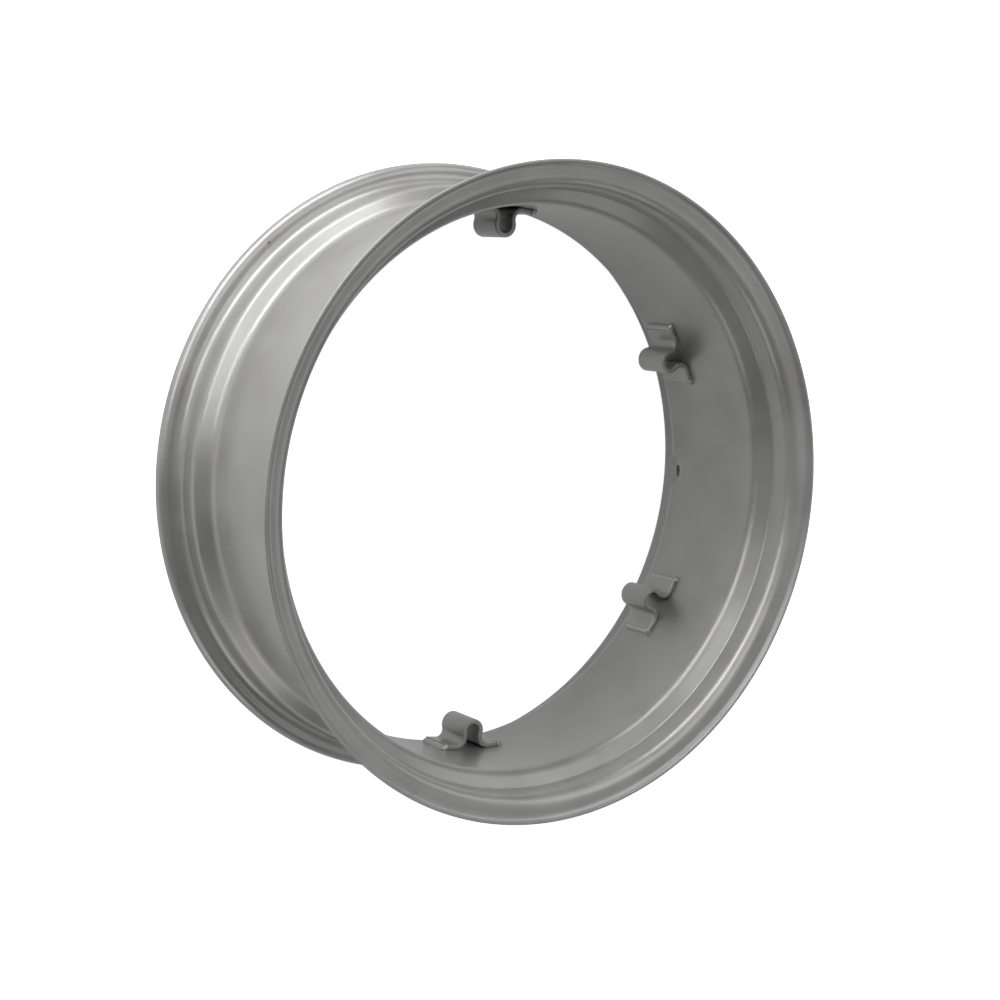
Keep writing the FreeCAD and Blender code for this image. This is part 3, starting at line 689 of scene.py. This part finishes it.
# %% Sizes of the loop, in millimetres
LOOP_COUNT = 6
FIRST_LOOP = math.radians(28.7)
LOOP_OFFSET = 44.0  # from the middle of the wheel to the middle of the strap
STRAP_WIDTH = 50.0
STRAP = 6.3
STRAP_EDGE = 1.9  # round of the strap's long edges
EDGE_PARTS = 4
EYE_BORE = 17.5
EYE_HEIGHT = 22.8  # from the well to the middle of the eye
FOOT_BEND = 8.5
FOOT_REACH = 36.8  # from the middle of the loop to a foot's end
foot_angle = math.asin(FOOT_REACH / WELL_RADIUS)
print("bolt circle in mm:", round(2 * (WELL_RADIUS - EYE_HEIGHT), 1))


# %% The middle line of the bent strap, drawn at angle zero
def arc_points(centre, radius, start, end, parts):
    """Points of an arc between two angles."""
    return [centre + radius * Vector((math.cos(a), math.sin(a)))
            for a in (start + (end - start) * i / parts for i in range(parts + 1))]


def strap_path():
    """The upper half from the foot end to the crown, and its mirror image."""
    eye = Vector((WELL_RADIUS - EYE_HEIGHT, 0))
    to_eye = EYE_BORE / 2 + STRAP + FOOT_BEND
    to_axis = WELL_RADIUS - STRAP - FOOT_BEND
    along = (to_axis ** 2 - to_eye ** 2 + eye.x ** 2) / (2 * eye.x)
    bend = Vector((along, math.sqrt(to_axis ** 2 - along ** 2)))
    spread = math.atan2(bend.y, bend.x)
    neck = math.atan2(bend.y - eye.y, bend.x - eye.x)
    foot = arc_points(Vector((0, 0)), WELL_RADIUS - STRAP / 2, foot_angle, spread, parts=6)
    open_bend = arc_points(bend, FOOT_BEND + STRAP / 2, spread, neck - math.pi, parts=16)
    crown = arc_points(eye, (EYE_BORE + STRAP) / 2, neck, math.pi, parts=26)
    half = foot + open_bend[1:] + crown[1:]
    return half + [Vector((p.x, -p.y)) for p in reversed(half[:-1])]


path = strap_path()
print("strap length in mm:", round(sum((b - a).length for a, b in zip(path, path[1:])), 1))


# %% Copies round the wheel, for the loops and for their welds
def repeat_round_wheel(tree, inputs, shape):
    """Sets a shape round the wheel axis, evenly, from the first angle on."""
    places = add_node(tree, "GeometryNodeMeshLine", Count=inputs.outputs["Loops"],
                      Offset=(0.0, 0.0, 0.0))
    number = add_node(tree, "GeometryNodeInputIndex").outputs[0]
    step = add_node(tree, "ShaderNodeMath", {"operation": "DIVIDE"},
                    _0=math.tau, _1=inputs.outputs["Loops"])
    turned = add_node(tree, "ShaderNodeMath", {"operation": "MULTIPLY_ADD"},
                      _0=number, _1=step.outputs[0], _2=inputs.outputs["First Angle"])
    spin = add_node(tree, "ShaderNodeCombineXYZ", Z=turned.outputs[0])
    return add_node(tree, "GeometryNodeInstanceOnPoints", Points=places.outputs[0],
                    Instance=shape, Rotation=spin.outputs[0]).outputs[0]


loop_tree, loop_in = new_tree("sweep_strap_and_repeat", {
    "Strap Thickness": "Float", "Strap Width": "Float", "Edge Round": "Float",
    "Loops": "Int", "First Angle": "Float", "Paint": "Material"})
print("inputs of the loop tree:", [socket.name for socket in loop_in.outputs if socket.name])

# %% Sweep the strap's section along its middle line
line = add_node(loop_tree, "GeometryNodeMeshToCurve", _0=loop_in.outputs["Geometry"])
upright = add_node(loop_tree, "GeometryNodeSetCurveNormal", {"mode": "Z_UP"},
                   Curve=line.outputs[0])
bar = add_node(loop_tree, "GeometryNodeCurvePrimitiveQuadrilateral",
               Width=loop_in.outputs["Strap Thickness"], Height=loop_in.outputs["Strap Width"])
rounded = add_node(loop_tree, "GeometryNodeFilletCurve", {"mode": "POLY"}, Curve=bar.outputs[0],
                   Count=EDGE_PARTS, Radius=loop_in.outputs["Edge Round"])
swept = add_node(loop_tree, "GeometryNodeCurveToMesh", Curve=upright.outputs[0],
                 Profile_Curve=rounded.outputs[0], Fill_Caps=True)
close_tree(loop_tree, repeat_round_wheel(loop_tree, loop_in, swept.outputs[0]),
           loop_in.outputs["Paint"])
print("nodes of the loop tree:", len(loop_tree.nodes))

# %% Bend the six loops
loops = run_tree("mounting_loops", line_mesh("strap_middle_line", path, -LOOP_OFFSET), loop_tree, {
    "Strap Thickness": STRAP * MM, "Strap Width": STRAP_WIDTH * MM, "Edge Round": STRAP_EDGE * MM,
    "Loops": LOOP_COUNT, "First Angle": FIRST_LOOP, "Paint": strap_paint})
smooth(loops, sharp_degrees=40)

# %% [markdown]
# ## The weld beads
#
# A welder lays one bead along the end of each foot. The metal freezes in small ripples, like a
# stack of coins, and the bead ends with a thicker blob. A plain fillet would look machined, so
# the tree carries the fillet section along a straight line and swells and shrinks it with the
# ripples, pulls it in at both ends, and then roughens the skin a little. Two beads are made at
# angle zero, one at each foot, and repeated six times.

# %% Sizes of the bead, in millimetres
BEAD_LEG = 5.2
BEAD_CROWN = 1.2
BEAD_OVERRUN = 1.5  # past the strap's edge
BEAD_SINK = 0.35  # into the foot and the well, so that no gap shows
BEAD_BACK = BEAD_LEG - 0.6  # height of the sunk back, below the leg's top
RIPPLE_PITCH = 1.9
RIPPLE_ARCH = 0.9
BLOB_PLACE = 2.6  # from the front end
BLOB_SPREAD = 2.2
END_ROUND = 2.2
SKIN_PATCH = 3.5
SKIN_ROUGHNESS = 0.7
print("bead length in mm:", STRAP_WIDTH + BEAD_OVERRUN)

# %% Shares of the bead's own size, its seed and the columns of its grid
RIPPLE_SWELL = 0.035
BLOB_SWELL = 0.42
BEAD_SEED = 7.0
BEAD_STATIONS = 110


# %% Section of a bead in the corner between foot end and well
def bead_section():
    """Closed line of the fillet, with the corner at the origin and the well along the first
    axis."""
    sag = WELL_RADIUS - math.sqrt(WELL_RADIUS ** 2 - BEAD_LEG ** 2)
    top, toe = Vector((0.0, BEAD_LEG)), Vector((BEAD_LEG, sag))
    out = Vector((1, 1)).normalized()
    steps = 8
    skin = [top.lerp(toe, i / steps) + out * BEAD_CROWN * math.sin(math.pi * i / steps)
            for i in range(steps + 1)]
    buried = [Vector((BEAD_LEG * 0.9, sag - BEAD_SINK)), Vector((-BEAD_SINK, -BEAD_SINK)),
              Vector((-BEAD_SINK, BEAD_BACK))]
    return skin + buried + skin[:1]


print("bead section points:", len(bead_section()) - 1)

# %% The tree that lays the beads, and how far along each grid point is
bead_tree, bead_in = new_tree("lay_rippled_beads", {
    "Bead Length": "Float", "Stations": "Int", "Ripple Pitch": "Float", "Ripple Height": "Float",
    "Ripple Arch": "Float", "Blob Place": "Float", "Blob Spread": "Float", "Blob Height": "Float",
    "End Round": "Float", "Skin Roughness": "Float", "Skin Patch": "Float", "Seed": "Float",
    "Loops": "Int", "First Angle": "Float", "Paint": "Material"})
grid, column, row, rows, section_point = section_grid(
    bead_tree, bead_in.outputs["Geometry"], bead_in.outputs["Stations"])
last_station = add_node(bead_tree, "ShaderNodeMath", {"operation": "SUBTRACT"},
                        _0=bead_in.outputs["Stations"], _1=1.0)
share = add_node(bead_tree, "ShaderNodeMath", {"operation": "DIVIDE"},
                 _0=column, _1=last_station.outputs[0])
height = add_node(bead_tree, "ShaderNodeMath", {"operation": "MULTIPLY"},
                  _0=share.outputs[0], _1=bead_in.outputs["Bead Length"]).outputs[0]
print("bead tree has", len(bead_tree.nodes), "nodes so far")

# %% Ripples: waves along the bead that lag behind in the middle of its skin
last_row = add_node(bead_tree, "ShaderNodeMath", {"operation": "SUBTRACT"}, _0=rows, _1=1.0)
down_skin = add_node(bead_tree, "ShaderNodeMath", {"operation": "DIVIDE"},
                     _0=row, _1=last_row.outputs[0])
half_turn = add_node(bead_tree, "ShaderNodeMath", {"operation": "MULTIPLY"},
                     _0=down_skin.outputs[0], _1=math.pi)
bow = add_node(bead_tree, "ShaderNodeMath", {"operation": "SINE"}, _0=half_turn.outputs[0])
arch = add_node(bead_tree, "ShaderNodeMath", {"operation": "MULTIPLY"},
                _0=bow.outputs[0], _1=bead_in.outputs["Ripple Arch"])
lag = add_node(bead_tree, "ShaderNodeMath", {"operation": "SUBTRACT"},
               _0=height, _1=arch.outputs[0])
ripples = add_node(bead_tree, "ShaderNodeMath", {"operation": "DIVIDE"},
                   _0=lag.outputs[0], _1=bead_in.outputs["Ripple Pitch"])
turns = add_node(bead_tree, "ShaderNodeMath", {"operation": "MULTIPLY"},
                 _0=ripples.outputs[0], _1=math.tau)
wave = add_node(bead_tree, "ShaderNodeMath", {"operation": "SINE"}, _0=turns.outputs[0])
ripple = add_node(bead_tree, "ShaderNodeMath", {"operation": "MULTIPLY"},
                  _0=wave.outputs[0], _1=bead_in.outputs["Ripple Height"])
print("bead tree has", len(bead_tree.nodes), "nodes with the ripples")

# %% A blob near the front end, as a bell curve
from_front = add_node(bead_tree, "ShaderNodeMath", {"operation": "SUBTRACT"},
                      _0=bead_in.outputs["Bead Length"], _1=height).outputs[0]
to_blob = add_node(bead_tree, "ShaderNodeMath", {"operation": "SUBTRACT"},
                   _0=from_front, _1=bead_in.outputs["Blob Place"])
spread = add_node(bead_tree, "ShaderNodeMath", {"operation": "DIVIDE"},
                  _0=to_blob.outputs[0], _1=bead_in.outputs["Blob Spread"]).outputs[0]
squared = add_node(bead_tree, "ShaderNodeMath", {"operation": "MULTIPLY"}, _0=spread, _1=spread)
falling = add_node(bead_tree, "ShaderNodeMath", {"operation": "MULTIPLY"},
                   _0=squared.outputs[0], _1=-1.0)
bell = add_node(bead_tree, "ShaderNodeMath", {"operation": "EXPONENT"}, _0=falling.outputs[0])
blob = add_node(bead_tree, "ShaderNodeMath", {"operation": "MULTIPLY"},
                _0=bell.outputs[0], _1=bead_in.outputs["Blob Height"])
print("bead tree has", len(bead_tree.nodes), "nodes with the blob")

# %% Rounded ends, and the swell of the whole bead
near_end = add_node(bead_tree, "ShaderNodeMath", {"operation": "MINIMUM"},
                    _0=from_front, _1=height)
in_rounds = add_node(bead_tree, "ShaderNodeMath", {"operation": "DIVIDE"},
                     _0=near_end.outputs[0], _1=bead_in.outputs["End Round"])
inside = add_node(bead_tree, "ShaderNodeMath", {"operation": "MINIMUM"},
                  _0=in_rounds.outputs[0], _1=1.0)
short = add_node(bead_tree, "ShaderNodeMath", {"operation": "SUBTRACT"},
                 _0=1.0, _1=inside.outputs[0]).outputs[0]
short_squared = add_node(bead_tree, "ShaderNodeMath", {"operation": "MULTIPLY"},
                         _0=short, _1=short)
remainder = add_node(bead_tree, "ShaderNodeMath", {"operation": "SUBTRACT"},
                     _0=1.0, _1=short_squared.outputs[0])
ends = add_node(bead_tree, "ShaderNodeMath", {"operation": "SQRT"}, _0=remainder.outputs[0])
rippled = add_node(bead_tree, "ShaderNodeMath", {"operation": "ADD"},
                   _0=1.0, _1=ripple.outputs[0])
swollen = add_node(bead_tree, "ShaderNodeMath", {"operation": "ADD"},
                   _0=rippled.outputs[0], _1=blob.outputs[0])
swell = add_node(bead_tree, "ShaderNodeMath", {"operation": "MULTIPLY"},
                 _0=ends.outputs[0], _1=swollen.outputs[0]).outputs[0]
print("bead tree has", len(bead_tree.nodes), "nodes with the ends")

# %% Place the skin of the bead in the corner
BEAD_SEAM = 0.02  # the bead's closing points are merged within this, in millimetres
over_well = add_node(bead_tree, "ShaderNodeMath", {"operation": "MULTIPLY"},
                     _0=section_point.outputs["Y"], _1=swell)
radius = add_node(bead_tree, "ShaderNodeMath", {"operation": "SUBTRACT"},
                  _0=WELL_RADIUS * MM, _1=over_well.outputs[0])
off_foot = add_node(bead_tree, "ShaderNodeMath", {"operation": "MULTIPLY"},
                    _0=section_point.outputs["X"], _1=swell)
level = add_node(bead_tree, "ShaderNodeMath", {"operation": "ADD"},
                 _0=height, _1=-(LOOP_OFFSET + STRAP_WIDTH / 2) * MM)
skin_place = add_node(bead_tree, "ShaderNodeCombineXYZ", X=radius.outputs[0],
                      Y=off_foot.outputs[0], Z=level.outputs[0])
skin = add_node(bead_tree, "GeometryNodeSetPosition", Geometry=grid,
                Position=skin_place.outputs[0])
shut = add_node(bead_tree, "GeometryNodeMergeByDistance", Geometry=skin.outputs[0],
                Distance=BEAD_SEAM * MM)
print("bead tree has", len(bead_tree.nodes), "nodes with the skin")

# %% Make its twin at the other foot and repeat both
at_foot = add_node(bead_tree, "GeometryNodeTransform", Geometry=shut.outputs[0],
                   Rotation=(0.0, 0.0, foot_angle))
twin = add_node(bead_tree, "GeometryNodeTransform", Geometry=at_foot.outputs[0],
                Scale=(1.0, -1.0, 1.0))
turned = add_node(bead_tree, "GeometryNodeFlipFaces", Mesh=twin.outputs[0])
pair = add_node(bead_tree, "GeometryNodeJoinGeometry", Geometry=at_foot.outputs[0])
bead_tree.links.new(turned.outputs[0], pair.inputs[0])
set_round = repeat_round_wheel(bead_tree, bead_in, pair.outputs[0])
print("bead tree has", len(bead_tree.nodes), "nodes with the twins")

# %% Roughen the skin, no two beads alike
real = add_node(bead_tree, "GeometryNodeRealizeInstances", Geometry=set_round)
fineness = add_node(bead_tree, "ShaderNodeMath", {"operation": "DIVIDE"},
                    _0=1.0, _1=bead_in.outputs["Skin Patch"])
uneven = add_node(bead_tree, "ShaderNodeTexNoise", {"noise_dimensions": "4D"},
                  Vector=add_node(bead_tree, "GeometryNodeInputPosition").outputs[0],
                  W=bead_in.outputs["Seed"], Scale=fineness.outputs[0], Detail=2.0)
signed = add_node(bead_tree, "ShaderNodeMath", {"operation": "SUBTRACT"},
                  _0=uneven.outputs["Fac"], _1=0.5)
lift = add_node(bead_tree, "ShaderNodeMath", {"operation": "MULTIPLY"},
                _0=signed.outputs[0], _1=bead_in.outputs["Skin Roughness"])
push = add_node(bead_tree, "ShaderNodeVectorMath", {"operation": "SCALE"},
                _0=add_node(bead_tree, "GeometryNodeInputNormal").outputs[0],
                Scale=lift.outputs[0])
rough = add_node(bead_tree, "GeometryNodeSetPosition", Geometry=real.outputs[0],
                 Offset=push.outputs[0])
close_tree(bead_tree, rough.outputs[0], bead_in.outputs["Paint"])
print("bead tree has", len(bead_tree.nodes), "nodes in all")

# %% Lay the twelve beads
beads = run_tree("weld_beads", line_mesh("bead_section", bead_section()), bead_tree, {
    "Bead Length": (STRAP_WIDTH + BEAD_OVERRUN) * MM, "Stations": BEAD_STATIONS,
    "Ripple Pitch": RIPPLE_PITCH * MM, "Ripple Height": RIPPLE_SWELL,
    "Ripple Arch": RIPPLE_ARCH * MM, "Blob Place": BLOB_PLACE * MM,
    "Blob Spread": BLOB_SPREAD * MM, "Blob Height": BLOB_SWELL, "End Round": END_ROUND * MM,
    "Skin Roughness": SKIN_ROUGHNESS * MM, "Skin Patch": SKIN_PATCH * MM, "Seed": BEAD_SEED,
    "Loops": LOOP_COUNT, "First Angle": FIRST_LOOP, "Paint": weld_paint})
smooth(beads, sharp_degrees=60)

# %% [markdown]
# ## The studio
#
# The rim stands upright in the photograph. A loose rim can't stand so without a prop, so it
# lies flat on its back lip here and the camera looks down on it, which gives the same view. The
# floor is pale and plain. A floor that is only lit would come out grey in places, so the camera
# sees part of its white as its own light, and the rest shows the soft shadow.

# %% Floor
FLOOR_REACH = 9.0  # metres to each side
FLOOR_GREY = 0.82
FLOOR_GLOW = 0.32  # in the paint's reflections
CAMERA_GLOW = 0.62  # added for the camera
floor_mesh = bpy.data.meshes.new("floor")
floor_mesh.from_pydata([(x * FLOOR_REACH, y * FLOOR_REACH, FLOOR_LEVEL)
                        for x, y in ((-1, -1), (1, -1), (1, 1), (-1, 1))], [], [(0, 1, 2, 3)])
floor = bpy.data.objects.new("floor", floor_mesh)
bpy.context.scene.collection.objects.link(floor)
floor_paint = bpy.data.materials.new("pale_studio_floor")
floor_paint.use_nodes = True
floor_tree = floor_paint.node_tree
floor_tree.nodes.clear()
ray = add_node(floor_tree, "ShaderNodeLightPath")
matt = add_node(floor_tree, "ShaderNodeBsdfDiffuse",
                Color=(FLOOR_GREY, FLOOR_GREY, FLOOR_GREY, 1.0))
white = add_node(floor_tree, "ShaderNodeMath", {"operation": "MULTIPLY_ADD"},
                 _0=ray.outputs["Is Camera Ray"], _1=CAMERA_GLOW, _2=FLOOR_GLOW)
glow = add_node(floor_tree, "ShaderNodeEmission", Color=(1.0, 1.0, 1.0, 1.0),
                Strength=white.outputs[0])
lit = add_node(floor_tree, "ShaderNodeAddShader", _0=matt.outputs[0], _1=glow.outputs[0])
seen = ray.outputs["Is Camera Ray"]
for kind in ("Is Glossy Ray", "Is Transmission Ray"):
    seen = add_node(floor_tree, "ShaderNodeMath", {"operation": "MAXIMUM"},
                    _0=seen, _1=ray.outputs[kind]).outputs[0]
shown = add_node(floor_tree, "ShaderNodeMixShader", _0=seen, _1=matt.outputs[0],
                 _2=lit.outputs[0])
add_node(floor_tree, "ShaderNodeOutputMaterial", Surface=shown.outputs[0])
floor.data.materials.append(floor_paint)
print("floor", 2 * FLOOR_REACH, "m wide")

# %% Camera, from the ellipses of the two lips in the photograph
CAMERA_PLACE = Vector((-1281.1, 260.7, 1901.9)) * MM
LOOK = Vector((0.55563, -0.12134, -0.82253)).normalized()
PICTURE_TOP = Vector((0.02943, 0.99154, -0.12640))
FILM_WIDTH = 36.0
LENS_RATIO = 1.931  # focal length by film width
FARTHEST = 60.0  # metres
side = LOOK.cross(PICTURE_TOP).normalized()
up = side.cross(LOOK).normalized()
camera_data = bpy.data.cameras.new("camera")
camera_data.sensor_width = FILM_WIDTH
camera_data.lens = FILM_WIDTH * LENS_RATIO
camera_data.clip_end = FARTHEST
camera = bpy.data.objects.new("camera", camera_data)
bpy.context.scene.collection.objects.link(camera)
camera.matrix_world = (Matrix.Translation(CAMERA_PLACE)
                       @ Matrix((side, up, -LOOK)).transposed().to_4x4())
bpy.context.scene.camera = camera
print("camera distance in m:", round(CAMERA_PLACE.length, 3))

# %% Lamps
LAMP_DISTANCE = 2.6  # metres from the wheel centre
LAMP_WIDTH = 1.2


def soft_box(name, azimuth, elevation, height, power):
    """A soft box aimed at the wheel centre. Angles are in degrees, azimuth from the valve."""
    turn, lift = math.radians(azimuth), math.radians(elevation)
    way = Vector((math.cos(turn) * math.cos(lift), math.sin(turn) * math.cos(lift), math.sin(lift)))
    lamp_data = bpy.data.lights.new(name, "AREA")
    lamp_data.shape = "RECTANGLE"
    lamp_data.size = LAMP_WIDTH
    lamp_data.size_y = height
    lamp_data.energy = power
    lamp = bpy.data.objects.new(name, lamp_data)
    bpy.context.scene.collection.objects.link(lamp)
    lamp.location = way * LAMP_DISTANCE
    lamp.rotation_euler = (-way).to_track_quat("-Z", "Y").to_euler()
    print(name, "at", [round(v, 2) for v in lamp.location])


# The key is a low strip of three boxes side by side, so that each bend shows one bright line
# all along. The square boxes round it are weak and lift the sides that turn away.
for name, azimuth, elevation, height, power in (
        ("key_box_right", 98, 8, 0.6, 20.0),
        ("key_box_middle", 126, 8, 0.6, 27.0),
        ("key_box_left", 154, 20, 0.6, 14.0),
        ("top_box", 0, 57, 1.2, 1.4),
        ("top_box_left", 120, 57, 1.2, 11.6),
        ("top_box_right", 60, 57, 1.2, 7.8),
        ("side_box_high", 54, 32, 1.2, 6.5),
        ("side_box_right", 30, 8, 1.2, 6.4),
        ("side_box_low", 342, 32, 1.2, 4.6),
        ("fill_box_right", 300, 8, 1.2, 6.5),
        ("fill_box_low", 300, 57, 1.2, 4.6),
        ("fill_box_left", 240, 8, 1.2, 8.7)):
    soft_box(name, azimuth, elevation, height, power)

# %% The wall behind the floor, white to the camera and dim in the paint's reflections
MIRRORED_WALL = 0.10
world = bpy.data.worlds.new("studio")
world.use_nodes = True
world_tree = world.node_tree
sky = world_tree.nodes["Background"]
sky.inputs["Color"].default_value = (1.0, 1.0, 1.0, 1.0)
ray = add_node(world_tree, "ShaderNodeLightPath")
mirrored_ray = add_node(world_tree, "ShaderNodeMath", {"operation": "MAXIMUM"},
                        _0=ray.outputs["Is Glossy Ray"], _1=ray.outputs["Is Transmission Ray"])
wall_white = add_node(world_tree, "ShaderNodeMath", {"operation": "MULTIPLY_ADD"},
                      _0=mirrored_ray.outputs[0], _1=MIRRORED_WALL,
                      _2=ray.outputs["Is Camera Ray"])
world_tree.links.new(wall_white.outputs[0], sky.inputs["Strength"])
bpy.context.scene.world = world
bpy.context.scene.view_settings.view_transform = "Standard"
print("world:", world.name)

# %% [markdown]
# ## Handing over to the frame
#
# Each finished piece rides on the one body of the wheel and stands for the CAD solids of the same
# name, which stay behind it for collision.

# %% Tie every piece to the frame
loop_nodes = [f"mounting_loop_{i + 1}" for i in range(LOOP_COUNT)]
weld_nodes = [f"loop_{i + 1}_weld_{s}" for i in range(LOOP_COUNT) for s in "ab"]
for piece, slot, nodes in ((band_piece, "rim_enamel", ["rim_band"]),
                           (loops, "loop_enamel", loop_nodes),
                           (beads, "weld_enamel", weld_nodes)):
    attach(piece, "root")
    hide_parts(*nodes)
